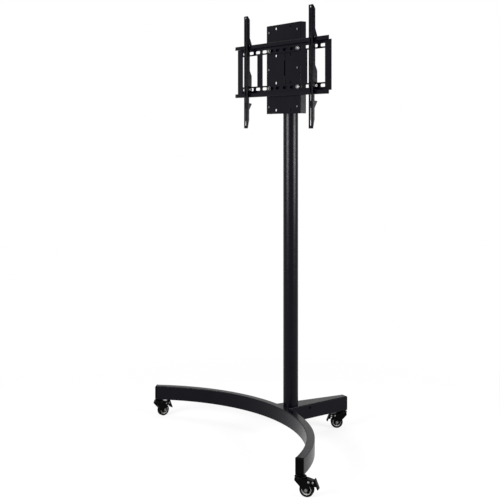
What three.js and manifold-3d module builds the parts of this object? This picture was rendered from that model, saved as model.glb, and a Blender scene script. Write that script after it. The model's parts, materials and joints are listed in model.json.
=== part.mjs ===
// A wheeled floor stand for a flat television: an arc-shaped base with a rear leg on three braked
// casters, a round column, and a head that slides on it and carries a slotted bracket with two arms.
// Millimetres, +Z up, the television faces -Y. The model is laid out with the column's axis at x = 0,
// y = 0, and moved at the end so that the origin is the middle of its footprint, on the floor.
import * as THREE from "three";
import { mergeVertices } from "three/addons/utils/BufferGeometryUtils.js";
import Module from "manifold-3d";

const wasm = await Module();
wasm.setup();

// Clearances shared by the whole stand.
const contactGap = 0.3; // between two pieces that touch
const overrun = 5; // how far a cutting solid runs past the face that it opens
const fullTurn = 2 * Math.PI;

// Casters. The trail runs along +X of each caster's own frame, with the swivel axis at its origin.
const wheel = {
  radius: 25,
  width: 20,
  tyreDepth: 6,
  shoulder: 4,
  hubRim: 4,
  hubWidth: 17,
  hubWeb: 5,
  hubBoss: 8.5,
  sideClearance: 1.2,
};
const caster = {
  height: 74,
  trail: 22,
  discRadius: 21,
  discThickness: 6,
  discEdge: 2,
  cheek: 2.5,
  cheekBack: 18.5,
  skirt: 3,
  bossRadius: 8,
  plateRadius: 15,
  plateThickness: 4,
  stemRadius: 5,
  stemReach: 16,
  stemHeadRadius: 9,
  stemHeadThickness: 3,
  axleRadius: 4,
  axleHeadRadius: 6,
  axleHead: 5,
};
const brake = {
  pinOut: 45.5,
  pinHeight: 52,
  pinRadius: 2.5,
  knuckleRadius: 5.5,
  lugRadius: 4.4,
  padTopOut: 47,
  padTopHeight: 64,
  padTipOut: 57.5,
  padTipHeight: 30,
  padThickness: 5.5,
  padHalfWidth: 12.5,
  sideClearance: 0.6,
};
// The way each caster trails, in degrees from +X.
const trailAngle = { front_right: 41, front_left: 97, rear: 239 };

// Base: a rectangular tube bent to an arc, and a tapered leg that meets it from behind.
const tube = { width: 30, height: 58, wall: 2, corner: 3 };
const arc = { radius: 681, halfAngle: 54.2, columnBehind: 50.6, steps: 40 };
const plug = { plate: 6, edge: 5, depth: 6, fit: 0.5, stemClearance: 1 };
const leg = { end: 272, wall: 2.5, frontHalfWidth: 45, rearHalfWidth: 15.5 };
const legCap = { plate: 6, corner: 5, edge: 3 };
const rearCasterInset = 16;
const frontCasterInset = 14;
const sideScrew = { radius: 2.5, headRadius: 4.5, head: 2, length: 12, behindColumn: 72, belowTop: 15 };

// Column, and the bolt and spigot that hold it on the leg.
const column = { radius: 30, wall: 2, top: 1657, capThickness: 3, capPlug: 14 };
const spigot = { length: 70, tapping: 36 };
const footBolt = { radius: 6, headRadius: 11, head: 8, engagement: 30 };

// Head: a channel in front of the column, with three saddles that hold the column.
const head = { width: 248, height: 360, aboveColumn: 6, depth: 26.4, sheet: 2.5, columnClearance: 4.2 };
const cableHole = { radius: 5.5, across: 105, pitch: 110, rows: 4 };
const headSlot = { width: 8, length: 138, offset: 12 };
const saddle = { strap: 3, fromHeadEdge: 12, tallHeight: 60, slimHeight: 12 };
const clampScrew = { radius: 2.5, headRadius: 4.5, head: 2.5, fromHeadEdge: 21, rowPitch: 151.5 };

// Bracket: two lipped rails in front of the head, joined by four straps.
const rail = { length: 680, height: 45, depth: 17.3, sheet: 2.2, lip: 15.5, span: 218, endNotch: 20 };
const railSlot = { length: 34, width: 12, perRail: 12, fromInnerEdge: 12 };
const standoff = { thickness: 4.5, radius: 7.5 };
const strap = { width: 40, sheet: 2.2, besideHead: 18, innerOverlap: 6, outerHeight: 190 };
const bracketBolt = {
  radius: 4,
  flats: 13,
  head: 5.5,
  washerRadius: 9,
  washer: 1.5,
  length: 22,
  fromHeadEdge: 7.7,
};
// The rail slots that the bolts go through, counted from the left, starting at zero.
const boltedSlots = [4, 8];

// Arms that hang on the rails and carry the television.
const arm = {
  aboveRail: 122,
  belowRail: 130,
  width: 28,
  sheet: 2.2,
  shallow: 9.7,
  lipClearance: 0.6,
  strapClearance: 0.8,
  fromRailEnd: 102,
  topChamfer: 15,
  bottomChamfer: 36,
  chamferLand: 3,
  hookRise: 4,
  hookSlope: 27,
  catchTop: 94,
  catchBottom: 2,
  catchSlope: 22,
  earBelowRail: 26,
  earDepth: 27,
  earLand: 2,
};
const armSlotWidth = 6.5;
// Lower and upper end of each slot, as shares of the arm's length from its foot.
const armSlotShares = [
  [0.021, 0.181],
  [0.221, 0.279],
  [0.289, 0.387],
  [0.432, 0.498],
  [0.521, 0.634],
  [0.668, 0.74],
  [0.772, 0.93],
];
const armHole = { radius: 3.5, belowTop: 8, pitch: 14.5, count: 2 };
const lockScrew = { radius: 3, headRadius: 6, head: 4, tip: 8, aboveLip: 17 };

// Places that follow from the sizes above.
const tubeBottom = caster.height;
const tubeTop = tubeBottom + tube.height;
const tubeMiddle = tubeBottom + tube.height / 2;
const arcCentreY = -(arc.radius + arc.columnBehind);
const outerRadius = arc.radius + tube.width / 2;
const halfAngle = THREE.MathUtils.degToRad(arc.halfAngle);
const tubeHalfAngle = halfAngle - (plug.plate + contactGap) / arc.radius;
const frontCasterAngle = halfAngle - frontCasterInset / arc.radius;
const headMiddle = column.top + head.aboveColumn - head.height / 2;
const plateFront = -(column.radius + head.columnClearance + head.sheet);
const plateBack = plateFront + head.sheet;
const railBack = plateFront - standoff.thickness;
const railFront = railBack - rail.sheet;
const lipFront = railBack - rail.depth;
const bracketTop = headMiddle + rail.span / 2;
const bracketBottom = headMiddle - rail.span / 2;
const slotRow = rail.span / 2 - rail.height + railSlot.fromInnerEdge;
// The bolts stand at the left ends of their slots, the right-hand ones near the head's edge.
const boltFromSlotMiddle = railSlot.length / 2 - bracketBolt.radius - contactGap;
const slotsToRightBolt = boltedSlots[1] - (railSlot.perRail - 1) / 2;
const slotPitch = (head.width / 2 - bracketBolt.fromHeadEdge + boltFromSlotMiddle) / slotsToRightBolt;
const clampHalf = head.width / 2 - clampScrew.fromHeadEdge;
const shallowBack = lipFront - arm.lipClearance;
const strapFront = railFront - contactGap - strap.sheet;
const deepBack = strapFront - arm.strapClearance;
const armFront = shallowBack - arm.shallow;
const armFoot = bracketBottom - arm.belowRail;
const armTop = bracketTop + arm.aboveRail;
const armPlace = rail.length / 2 - arm.fromRailEnd;

// Materials: powder-coated steel, moulded plastic, zinc-plated fasteners and rubber tyres.
function finish(color, roughness, metalness) {
  return new THREE.MeshStandardMaterial({ color, roughness, metalness });
}
const coatedSteel = finish(0x1d1c20, 0.5, 0.2);
const blackPlastic = finish(0x0c0b0d, 0.6, 0);
const pressedSteel = finish(0x17161a, 0.4, 0.4);
const zinc = finish(0xa7a6a8, 0.35, 0.9);
const rubber = finish(0x101013, 0.8, 0);
const greyNylon = finish(0x9a9894, 0.5, 0);

// Solids and the geometry that comes back from them.
function solid(geometry) {
  const bare = geometry.clone();
  bare.deleteAttribute("normal");
  bare.deleteAttribute("uv");
  const merged = mergeVertices(bare);
  return new wasm.Manifold(
    new wasm.Mesh({
      numProp: 3,
      vertProperties: merged.attributes.position.array,
      triVerts: new Uint32Array(merged.index.array),
    }),
  );
}

function geometryOf(body) {
  const mesh = body.getMesh();
  const geometry = new THREE.BufferGeometry();
  geometry.setAttribute("position", new THREE.BufferAttribute(mesh.vertProperties, 3));
  geometry.setIndex(new THREE.BufferAttribute(mesh.triVerts, 1));
  return geometry;
}

function cut(body, tools) {
  return tools.reduce((left, tool) => left.subtract(tool), body);
}

function join(bodies) {
  return bodies.reduce((whole, body) => whole.add(body));
}

// A box between two corners.
function block(low, high) {
  const size = high.map((value, i) => value - low[i]);
  const middle = high.map((value, i) => (value + low[i]) / 2);
  return solid(new THREE.BoxGeometry(...size).translate(...middle));
}

// A round bar from one height to another along Z, before it is turned and placed.
function barGeometry(radius, from, to, sides) {
  const bar = new THREE.CylinderGeometry(radius, radius, to - from, sides);
  return bar.rotateX(Math.PI / 2).translate(0, 0, (from + to) / 2);
}

function bar(radius, from, to, sides = 16) {
  return solid(barGeometry(radius, from, to, sides));
}

// A flat outline given by [u, v] points.
function outline(points) {
  return new THREE.Shape(points.map(([u, v]) => new THREE.Vector2(u, v)));
}

function prism(shape, from, to, curveSegments = 6) {
  const settings = { depth: to - from, bevelEnabled: false, curveSegments };
  return new THREE.ExtrudeGeometry(shape, settings).translate(0, 0, from);
}

// Extrusions whose outline lies in the YZ or XZ plane, between two places on the third axis.
function prismAlongX(shape, from, to, curveSegments) {
  const upright = prism(shape, from, to, curveSegments);
  return upright.rotateX(Math.PI / 2).rotateZ(Math.PI / 2);
}

function prismAlongY(shape, from, to, curveSegments) {
  return prism(shape, -to, -from, curveSegments).rotateX(Math.PI / 2);
}

// A turned solid about Z; the profile's [radius, height] points start and end on the axis.
function turned(profile, sides) {
  return new THREE.LatheGeometry(
    profile.map(([radius, height]) => new THREE.Vector2(radius, height)),
    sides,
  ).rotateX(Math.PI / 2);
}

function roundedRectangle(width, height, radius) {
  const halfWidth = width / 2;
  const halfHeight = height / 2;
  const shape = new THREE.Shape();
  shape.absarc(halfWidth - radius, halfHeight - radius, radius, 0, Math.PI / 2);
  shape.absarc(radius - halfWidth, halfHeight - radius, radius, Math.PI / 2, Math.PI);
  shape.absarc(radius - halfWidth, radius - halfHeight, radius, Math.PI, Math.PI * 1.5);
  shape.absarc(halfWidth - radius, radius - halfHeight, radius, Math.PI * 1.5, fullTurn);
  shape.closePath();
  return shape;
}

// A slot with round ends, standing up if its height is the longer side.
function slotShape(width, height, x, z) {
  const radius = Math.min(width, height) / 2;
  const run = Math.max(width, height) / 2 - radius;
  const shape = new THREE.Shape();
  if (width > height) {
    shape.absarc(x + run, z, radius, -Math.PI / 2, Math.PI / 2);
    shape.absarc(x - run, z, radius, Math.PI / 2, Math.PI * 1.5);
  } else {
    shape.absarc(x, z + run, radius, 0, Math.PI);
    shape.absarc(x, z - run, radius, Math.PI, fullTurn);
  }
  shape.closePath();
  return shape;
}

function slotCutter(width, height, x, z, front, back) {
  return solid(prismAlongY(slotShape(width, height, x, z), front - overrun, back + overrun, 4));
}

function holeAlongY(radius, x, z, front, back, sides = 12) {
  const cutter = barGeometry(radius, front - overrun, back + overrun, sides);
  return solid(cutter.rotateX(-Math.PI / 2).translate(x, 0, z));
}

function hexagon(flats) {
  const corner = flats / 2 / Math.cos(Math.PI / 6);
  const turn = (i) => (i * Math.PI) / 3;
  return outline([0, 1, 2, 3, 4, 5].map((i) => [corner * Math.cos(turn(i)), corner * Math.sin(turn(i))]));
}

const stand = new THREE.Group();

function place(parent, name, geometry, material) {
  const mesh = new THREE.Mesh(geometry, material);
  mesh.name = name;
  parent.add(mesh);
}

// The centre line of the arc, from the left end to the right end.
class ArcPath extends THREE.Curve {
  getPoint(t) {
    const angle = tubeHalfAngle * (2 * t - 1);
    const x = arc.radius * Math.sin(angle);
    return new THREE.Vector3(x, arcCentreY + arc.radius * Math.cos(angle), tubeMiddle);
  }
}

function arcPoint(angle, z) {
  return [arc.radius * Math.sin(angle), arcCentreY + arc.radius * Math.cos(angle), z];
}

function baseArc() {
  const section = roundedRectangle(tube.height, tube.width, tube.corner);
  const innerHeight = tube.height / 2 - tube.wall;
  const innerWidth = tube.width / 2 - tube.wall;
  const bore = [
    [-innerHeight, -innerWidth],
    [-innerHeight, innerWidth],
    [innerHeight, innerWidth],
    [innerHeight, -innerWidth],
  ];
  section.holes.push(outline(bore));
  const settings = { steps: arc.steps, extrudePath: new ArcPath(), curveSegments: 2 };
  const bent = solid(new THREE.ExtrudeGeometry(section, settings));
  const stemHoles = [-frontCasterAngle, frontCasterAngle].map((angle) => {
    const [x, y] = arcPoint(angle, 0);
    return bar(
      caster.stemRadius + contactGap,
      tubeBottom - overrun,
      tubeBottom + tube.wall + overrun,
    ).translate([x, y, 0]);
  });
  place(stand, "base_arc", geometryOf(cut(bent, stemHoles)), coatedSteel);
}

// The side outline of a cap's plate: flat at the seat, with rounded edges at its outer face.
function capSide(halfHeight, seat, end, edge) {
  const shape = new THREE.Shape();
  shape.moveTo(seat, -halfHeight);
  shape.absarc(end - edge, edge - halfHeight, edge, -Math.PI / 2, 0);
  shape.absarc(end - edge, halfHeight - edge, edge, 0, Math.PI / 2);
  shape.lineTo(seat, halfHeight);
  shape.closePath();
  return shape;
}

// A moulded cap whose plate covers a tube's end and whose plug sits inside it; +X points out.
function capSolid(width, height, wall, corner) {
  const face = solid(prismAlongX(roundedRectangle(width, height, corner), 0, plug.plate, 3));
  const side = prismAlongY(capSide(height / 2, 0, plug.plate, plug.edge), -width, width, 4);
  const inset = 2 * (wall + plug.fit);
  const bung = roundedRectangle(width - inset, height - inset, wall);
  return face.intersect(solid(side)).add(solid(prismAlongX(bung, -plug.depth, plug.plate / 2, 3)));
}

// The arc's caps have a hollow in the plug for the caster's stem, which stands close behind them.
function arcCap(name, angle) {
  const fromSeat = frontCasterInset - plug.plate - contactGap;
  const stemTop = caster.stemReach + plug.stemClearance - tube.height / 2;
  const hollow = bar(caster.stemRadius + plug.stemClearance, -tube.height, stemTop);
  const body = capSolid(tube.width, tube.height, tube.wall, tube.corner);
  const cap = geometryOf(body.subtract(hollow.translate([-fromSeat, 0, 0])));
  const mesh = new THREE.Group();
  const side = Math.sign(angle);
  mesh.position.set(...arcPoint(side * (tubeHalfAngle + contactGap / arc.radius), tubeMiddle));
  mesh.rotation.z = side > 0 ? -tubeHalfAngle : Math.PI + tubeHalfAngle;
  place(mesh, name, cap, blackPlastic);
  stand.add(mesh);
}

// Half the leg's width at a distance behind the column's axis.
function legHalfWidth(y) {
  const front = arcCentreY + arc.radius;
  const share = (y - front) / (leg.end - front);
  return leg.frontHalfWidth + (leg.rearHalfWidth - leg.frontHalfWidth) * share;
}

function legPlan(front, rear, inset) {
  return outline([
    [legHalfWidth(front) - inset, front],
    [legHalfWidth(rear) - inset, rear],
    [inset - legHalfWidth(rear), rear],
    [inset - legHalfWidth(front), front],
  ]);
}

function rearLeg() {
  const front = arcCentreY + arc.radius;
  const rear = leg.end - legCap.plate - contactGap;
  const shell = solid(prism(legPlan(front, rear, 0), tubeBottom, tubeTop));
  const hollow = solid(
    prism(legPlan(front, rear + overrun, leg.wall), tubeBottom + leg.wall, tubeTop - leg.wall),
  );
  const arcFace = bar(outerRadius + contactGap, tubeBottom - overrun, tubeTop + overrun, 180);
  const boltHole = bar(footBolt.radius + contactGap, tubeBottom - overrun, tubeTop + overrun);
  const stemHole = bar(caster.stemRadius + contactGap, tubeBottom - overrun, tubeMiddle);
  const screwHole = bar(sideScrew.radius + contactGap, 0, leg.frontHalfWidth + overrun, 12);
  place(
    stand,
    "rear_leg",
    geometryOf(
      cut(shell, [
        hollow,
        arcFace.translate([0, arcCentreY, 0]),
        boltHole,
        stemHole.translate([0, leg.end - rearCasterInset, 0]),
        screwHole.rotate([0, 90, 0]).translate([0, sideScrew.behindColumn, tubeTop - sideScrew.belowTop]),
      ]),
    ),
    coatedSteel,
  );
}

// The leg's cap has rounded upright edges and a short bung inside the leg.
function rearLegCap() {
  const seat = leg.end - legCap.plate;
  const half = legHalfWidth(seat);
  const plan = new THREE.Shape();
  plan.moveTo(-half, seat);
  plan.lineTo(half, seat);
  plan.absarc(half - legCap.corner, leg.end - legCap.corner, legCap.corner, 0, Math.PI / 2);
  plan.absarc(legCap.corner - half, leg.end - legCap.corner, legCap.corner, Math.PI / 2, Math.PI);
  plan.closePath();
  const inset = leg.wall + plug.fit;
  const bungFront = leg.end - rearCasterInset + caster.stemRadius + plug.stemClearance;
  const bung = block(
    [inset - legHalfWidth(leg.end), bungFront, tubeBottom + inset],
    [legHalfWidth(leg.end) - inset, seat + legCap.plate / 2, tubeTop - inset],
  );
  const side = prismAlongX(capSide(tube.height / 2, seat, leg.end, legCap.edge), -half, half, 4);
  const plate = solid(prism(plan, tubeBottom, tubeTop));
  const cap = plate.intersect(solid(side.translate(0, 0, tubeMiddle))).add(bung);
  place(stand, "rear_leg_cap", geometryOf(cap), blackPlastic);
}

function legSideScrew() {
  const y = sideScrew.behindColumn;
  const taperSlope = (leg.frontHalfWidth - leg.rearHalfWidth) / (leg.end - arcCentreY - arc.radius);
  const face = legHalfWidth(y) + taperSlope * sideScrew.headRadius + contactGap;
  const profile = [
    [0, -sideScrew.length],
    [sideScrew.radius, -sideScrew.length],
    [sideScrew.radius, 0],
    [sideScrew.headRadius, 0],
    [sideScrew.headRadius, sideScrew.head / 2],
    [sideScrew.headRadius - sideScrew.head / 2, sideScrew.head],
    [0, sideScrew.head],
  ];
  const screw = turned(profile, 12).rotateY(Math.PI / 2);
  place(stand, "leg_side_screw", screw.translate(face, y, tubeTop - sideScrew.belowTop), zinc);
}

function columnTube() {
  const bottom = tubeTop + contactGap;
  const inner = column.radius - column.wall;
  const profile = [
    [inner, bottom],
    [column.radius, bottom],
    [column.radius, column.top],
    [inner, column.top],
    [inner, bottom],
  ];
  place(stand, "column_tube", turned(profile, 40), coatedSteel);
}

function columnCap() {
  const inner = column.radius - column.wall - contactGap;
  const seat = column.top + contactGap;
  const edge = column.capThickness / 3;
  const profile = [
    [0, seat - column.capPlug],
    [inner, seat - column.capPlug],
    [inner, seat],
    [column.radius, seat],
    [column.radius, seat + column.capThickness - edge],
    [column.radius - edge, seat + column.capThickness],
    [0, seat + column.capThickness],
  ];
  place(stand, "column_cap", turned(profile, 36), blackPlastic);
}

function footSpigot() {
  const bottom = tubeTop + contactGap;
  const radius = column.radius - column.wall - contactGap;
  const tapping = footBolt.radius + contactGap;
  const profile = [
    [0, bottom + spigot.tapping],
    [tapping, bottom + spigot.tapping],
    [tapping, bottom],
    [radius, bottom],
    [radius, bottom + spigot.length],
    [0, bottom + spigot.length],
  ];
  place(stand, "foot_spigot", turned(profile, 24), zinc);
}

function columnBolt() {
  const underside = tubeBottom - contactGap;
  const shank = bar(footBolt.radius, underside - footBolt.head / 2, tubeTop + footBolt.engagement);
  const hex = solid(prism(hexagon(2 * footBolt.headRadius), underside - footBolt.head, underside));
  place(stand, "column_bolt", geometryOf(shank.add(hex)), zinc);
}

// The head's front channel, open at the back, top and bottom.
function headPlate() {
  const halfWidth = head.width / 2;
  const bottom = headMiddle - head.height / 2;
  const top = headMiddle + head.height / 2;
  const back = plateFront + head.depth;
  const channel = block([-halfWidth, plateFront, bottom], [halfWidth, back, top]);
  const inside = block(
    [head.sheet - halfWidth, plateBack, bottom - overrun],
    [halfWidth - head.sheet, back + overrun, top + overrun],
  );
  const tools = [inside];
  for (let row = 0; row < cableHole.rows; row += 1) {
    const z = headMiddle + cableHole.pitch * (row - (cableHole.rows - 1) / 2);
    for (const side of [-1, 1]) {
      tools.push(holeAlongY(cableHole.radius, (side * cableHole.across) / 2, z, plateFront, plateBack, 16));
    }
  }
  for (const [x, z] of clampScrewPlaces()) {
    tools.push(holeAlongY(clampScrew.radius + contactGap, x, z, plateFront, plateBack));
  }
  for (const [x, z] of bracketBoltPlaces()) {
    tools.push(holeAlongY(bracketBolt.radius + contactGap, x, z, plateFront, plateBack));
  }
  tools.push(
    slotCutter(headSlot.width, headSlot.length, headSlot.offset, headMiddle, plateFront, plateBack),
  );
  place(stand, "head_plate", geometryOf(cut(channel, tools)), coatedSteel);
}

function clampScrewPlaces() {
  const places = [];
  for (const row of [1, 0, -1]) {
    for (const side of [-1, 1]) {
      places.push([side * clampHalf, headMiddle + row * clampScrew.rowPitch]);
    }
  }
  return places;
}

function railSlotPlace(i) {
  return slotPitch * (i - (railSlot.perRail - 1) / 2);
}

function bracketBoltPlaces() {
  const places = [];
  for (const row of [1, -1]) {
    for (const slot of boltedSlots) {
      places.push([railSlotPlace(slot) - boltFromSlotMiddle, headMiddle + row * slotRow]);
    }
  }
  return places;
}

// A strap that lies flat on the back of the head's plate and loops round the column.
function saddleAt(name, z, height) {
  const low = z - height / 2;
  const high = z + height / 2;
  const earFront = plateBack + contactGap;
  const earBack = earFront + saddle.strap;
  const inner = column.radius + contactGap;
  const outer = inner + saddle.strap;
  const reach = head.width / 2 - saddle.fromHeadEdge;
  const body = join([
    block([-reach, earFront, low], [reach, earBack, high]),
    block([-outer, earFront, low], [outer, 0, high]),
    bar(outer, low, high, 32),
  ]);
  const tools = [
    bar(inner, low - overrun, high + overrun, 40),
    block([-inner, earFront - overrun, low - overrun], [inner, 0, high + overrun]),
  ];
  for (const side of [-1, 1]) {
    tools.push(holeAlongY(clampScrew.radius + contactGap, side * clampHalf, z, earFront, earBack));
  }
  place(stand, name, geometryOf(cut(body, tools)), pressedSteel);
}

function clampScrews() {
  const headBack = plateFront - contactGap;
  const tip = plateBack + contactGap + saddle.strap + clampScrew.head;
  const profile = [
    [0, -tip],
    [clampScrew.radius, -tip],
    [clampScrew.radius, -headBack],
    [clampScrew.headRadius, -headBack],
    [clampScrew.headRadius, clampScrew.head / 2 - headBack],
    [clampScrew.headRadius - clampScrew.head / 2, clampScrew.head - headBack],
    [0, clampScrew.head - headBack],
  ];
  clampScrewPlaces().forEach(([x, z], i) => {
    const screw = turned(profile, 10).rotateX(Math.PI / 2).translate(x, 0, z);
    place(stand, `clamp_screw_${i + 1}`, screw, pressedSteel);
  });
}

// One lipped rail; up is 1 for the upper rail and -1 for the lower one.
function bracketRail(name, up) {
  const outer = headMiddle + (up * rail.span) / 2;
  const at = (distance) => outer - up * distance;
  const points = [
    [lipFront, at(0)],
    [railBack, at(0)],
    [railBack, at(rail.height)],
    [railFront, at(rail.height)],
    [railFront, at(rail.sheet)],
    [lipFront + rail.sheet, at(rail.sheet)],
    [lipFront + rail.sheet, at(rail.lip)],
    [lipFront, at(rail.lip)],
  ];
  const section = outline(up > 0 ? points : points.reverse());
  const bent = solid(prismAlongX(section, -rail.length / 2, rail.length / 2));
  const tools = [];
  for (const side of [-1, 1]) {
    const end = (side * rail.length) / 2;
    const notch = [end - side * rail.endNotch, end + side * overrun];
    const heights = [at(-overrun), at(rail.height + overrun)];
    tools.push(
      block(
        [Math.min(...notch), lipFront + rail.sheet, Math.min(...heights)],
        [Math.max(...notch), railBack + overrun, Math.max(...heights)],
      ),
    );
  }
  for (let i = 0; i < railSlot.perRail; i += 1) {
    const z = headMiddle + up * slotRow;
    tools.push(slotCutter(railSlot.length, railSlot.width, railSlotPlace(i), z, railFront, railBack));
  }
  place(stand, name, geometryOf(cut(bent, tools)), coatedSteel);
}

// The straps lie inside the rails, on the front of their back walls.
function straps() {
  const innerHalf = rail.span / 2 - rail.height + strap.innerOverlap;
  const innerPlace = (head.width + strap.width) / 2 + strap.besideHead;
  const outerPlace = (rail.length - strap.width) / 2;
  const add = (name, x, halfHeight) => {
    const low = [x - strap.width / 2, strapFront, headMiddle - halfHeight];
    const high = [x + strap.width / 2, strapFront + strap.sheet, headMiddle + halfHeight];
    place(stand, name, geometryOf(block(low, high)), coatedSteel);
  };
  add("left_outer_strap", -outerPlace, strap.outerHeight / 2);
  add("left_inner_strap", -innerPlace, innerHalf);
  add("right_inner_strap", innerPlace, innerHalf);
  add("right_outer_strap", outerPlace, strap.outerHeight / 2);
}

function standoffs() {
  bracketBoltPlaces().forEach(([x, z], i) => {
    const inner = bracketBolt.radius + contactGap;
    const length = standoff.thickness - 2 * contactGap;
    const profile = [
      [inner, 0],
      [standoff.radius, 0],
      [standoff.radius, length],
      [inner, length],
      [inner, 0],
    ];
    const ring = turned(profile, 20).rotateX(Math.PI / 2);
    place(stand, `standoff_${i + 1}`, ring.translate(x, plateFront - contactGap, z), coatedSteel);
  });
}

function bracketBolts() {
  const seat = railFront - contactGap;
  bracketBoltPlaces().forEach(([x, z], i) => {
    const shank = bar(bracketBolt.radius, -bracketBolt.length, bracketBolt.washer);
    const washer = bar(bracketBolt.washerRadius, 0, bracketBolt.washer, 24);
    const headTop = bracketBolt.washer + bracketBolt.head;
    const hex = solid(prism(hexagon(bracketBolt.flats), bracketBolt.washer / 2, headTop));
    const bolt = geometryOf(join([shank, washer, hex])).rotateX(Math.PI / 2);
    place(stand, `bracket_bolt_${i + 1}`, bolt.translate(x, seat, z), zinc);
  });
}

// The side outline of an arm, as [y, z] points from its foot up, with its hook, catch and ear.
function armOutline() {
  const land = armFront + arm.chamferLand;
  const lipTop = bracketBottom + rail.lip;
  const earTop = bracketBottom - arm.earBelowRail;
  const catchTop = lipTop + arm.catchBottom + arm.catchTop;
  const seat = bracketTop + contactGap;
  return outline([
    [armFront, armFoot],
    [land, armFoot],
    [shallowBack, armFoot + arm.bottomChamfer],
    [shallowBack, earTop - arm.earDepth],
    [deepBack, earTop - arm.earLand],
    [deepBack, earTop],
    [shallowBack, earTop + arm.earLand],
    [shallowBack, lipTop + arm.catchBottom],
    [deepBack, lipTop + arm.catchBottom + arm.earLand],
    [deepBack, catchTop - arm.catchSlope],
    [shallowBack, catchTop],
    [shallowBack, seat],
    [deepBack, seat],
    [deepBack, seat + arm.hookRise],
    [shallowBack, seat + arm.hookRise + arm.hookSlope],
    [shallowBack, armTop - arm.topChamfer],
    [land, armTop],
    [armFront, armTop],
  ]);
}

// The lock screw's head stays in front of the straps when the arm slides past them.
function lockScrewPlace() {
  return [deepBack - lockScrew.headRadius, bracketBottom + rail.lip + lockScrew.aboveLip];
}

function televisionArm(side, x) {
  const half = arm.width / 2;
  const profile = solid(prismAlongX(armOutline(), x - half, x + half));
  const inside = block(
    [x - half + arm.sheet, armFront + arm.sheet, armFoot - overrun],
    [x + half - arm.sheet, railBack, armTop + overrun],
  );
  const front = armFront;
  const back = armFront + arm.sheet;
  const tools = [inside];
  for (const [fromShare, toShare] of armSlotShares) {
    const low = armFoot + fromShare * (armTop - armFoot);
    const high = armFoot + toShare * (armTop - armFoot);
    tools.push(slotCutter(armSlotWidth, high - low, x, (low + high) / 2, front, back));
  }
  for (let i = 0; i < armHole.count; i += 1) {
    const z = armTop - armHole.belowTop - i * armHole.pitch;
    tools.push(holeAlongY(armHole.radius, x, z, front, back));
  }
  const [screwY, screwZ] = lockScrewPlace();
  const screwHole = bar(lockScrew.radius + contactGap, x - arm.width, x + arm.width, 12);
  tools.push(screwHole.rotate([0, 90, 0]).translate([0, screwY, screwZ]));
  place(stand, `${side}_arm`, geometryOf(cut(profile, tools)), coatedSteel);
}

function armLockScrew(side, x) {
  const seat = x + arm.width / 2 + contactGap;
  const [y, z] = lockScrewPlace();
  const profile = [
    [0, -arm.width - lockScrew.tip],
    [lockScrew.radius, -arm.width - lockScrew.tip],
    [lockScrew.radius, 0],
    [lockScrew.headRadius, 0],
    [lockScrew.headRadius, lockScrew.head / 2],
    [lockScrew.headRadius - lockScrew.head / 2, lockScrew.head],
    [0, lockScrew.head],
  ];
  const screw = turned(profile, 14).rotateY(Math.PI / 2).translate(seat, y, z);
  place(stand, `${side}_arm_lock_screw`, screw, zinc);
}

// Casters: heights that the swivel's pieces share.
const platesBottom = caster.height - contactGap - caster.plateThickness;
const discTop = platesBottom - contactGap;
const discBottom = discTop - caster.discThickness;
const cheekInner = wheel.width / 2 + wheel.sideClearance;
const cheekOuter = cheekInner + caster.cheek;

function casterStem(group, name) {
  const underDisc = discBottom - contactGap;
  const profile = [
    [0, underDisc - caster.stemHeadThickness],
    [caster.stemHeadRadius, underDisc - caster.stemHeadThickness],
    [caster.stemHeadRadius, underDisc],
    [caster.stemRadius, underDisc],
    [caster.stemRadius, platesBottom],
    [caster.plateRadius, platesBottom],
    [caster.plateRadius, platesBottom + caster.plateThickness],
    [caster.stemRadius, platesBottom + caster.plateThickness],
    [caster.stemRadius, caster.height + caster.stemReach],
    [0, caster.height + caster.stemReach],
  ];
  place(group, `${name}_caster_stem`, turned(profile, 20), zinc);
}

// The side outline of a fork cheek: skirt, axle boss and the lug of the brake's pin.
function cheekOutline() {
  const top = discTop - caster.discEdge;
  const bottom = discBottom - caster.skirt;
  const shape = new THREE.Shape();
  shape.moveTo(-caster.cheekBack, top);
  shape.lineTo(-caster.cheekBack, bottom);
  shape.lineTo(caster.trail - caster.bossRadius, wheel.radius);
  shape.absarc(caster.trail, wheel.radius, caster.bossRadius, Math.PI, fullTurn);
  shape.lineTo(caster.trail + caster.bossRadius, brake.pinHeight - 2 * brake.lugRadius);
  shape.absarc(brake.pinOut, brake.pinHeight, brake.lugRadius, -Math.PI / 2, Math.PI / 2);
  shape.lineTo(caster.discRadius, top);
  shape.closePath();
  return shape;
}

function casterFork(group, name) {
  const disc = solid(
    turned(
      [
        [0, discBottom],
        [caster.discRadius, discBottom],
        [caster.discRadius, discTop - caster.discEdge],
        [caster.discRadius - caster.discEdge, discTop],
        [0, discTop],
      ],
      28,
    ),
  );
  const cheeks = solid(prismAlongY(cheekOutline(), -cheekOuter, cheekOuter, 6));
  const well = block(
    [-caster.cheekBack - overrun, -cheekInner, 0],
    [brake.pinOut + brake.lugRadius + overrun, cheekInner, discBottom],
  );
  const behindDisc = block(
    [caster.discRadius - caster.discEdge, -cheekInner, 0],
    [brake.pinOut + brake.lugRadius + overrun, cheekInner, caster.height],
  );
  const bore = bar(caster.stemRadius + contactGap, discBottom - overrun, caster.height, 20);
  const axleHole = holeAlongY(
    caster.axleRadius + contactGap,
    caster.trail,
    wheel.radius,
    -cheekOuter,
    cheekOuter,
    16,
  );
  const pinHole = holeAlongY(
    brake.pinRadius + contactGap,
    brake.pinOut,
    brake.pinHeight,
    -cheekOuter,
    cheekOuter,
  );
  const shell = cut(cheeks, [well, behindDisc]).add(disc);
  place(group, `${name}_caster_fork`, geometryOf(cut(shell, [bore, axleHole, pinHole])), pressedSteel);
}

// Turns a solid of revolution so that it lies on the wheel's axle.
function onAxle(geometry) {
  return geometry.rotateX(Math.PI / 2).translate(caster.trail, 0, wheel.radius);
}

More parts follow.
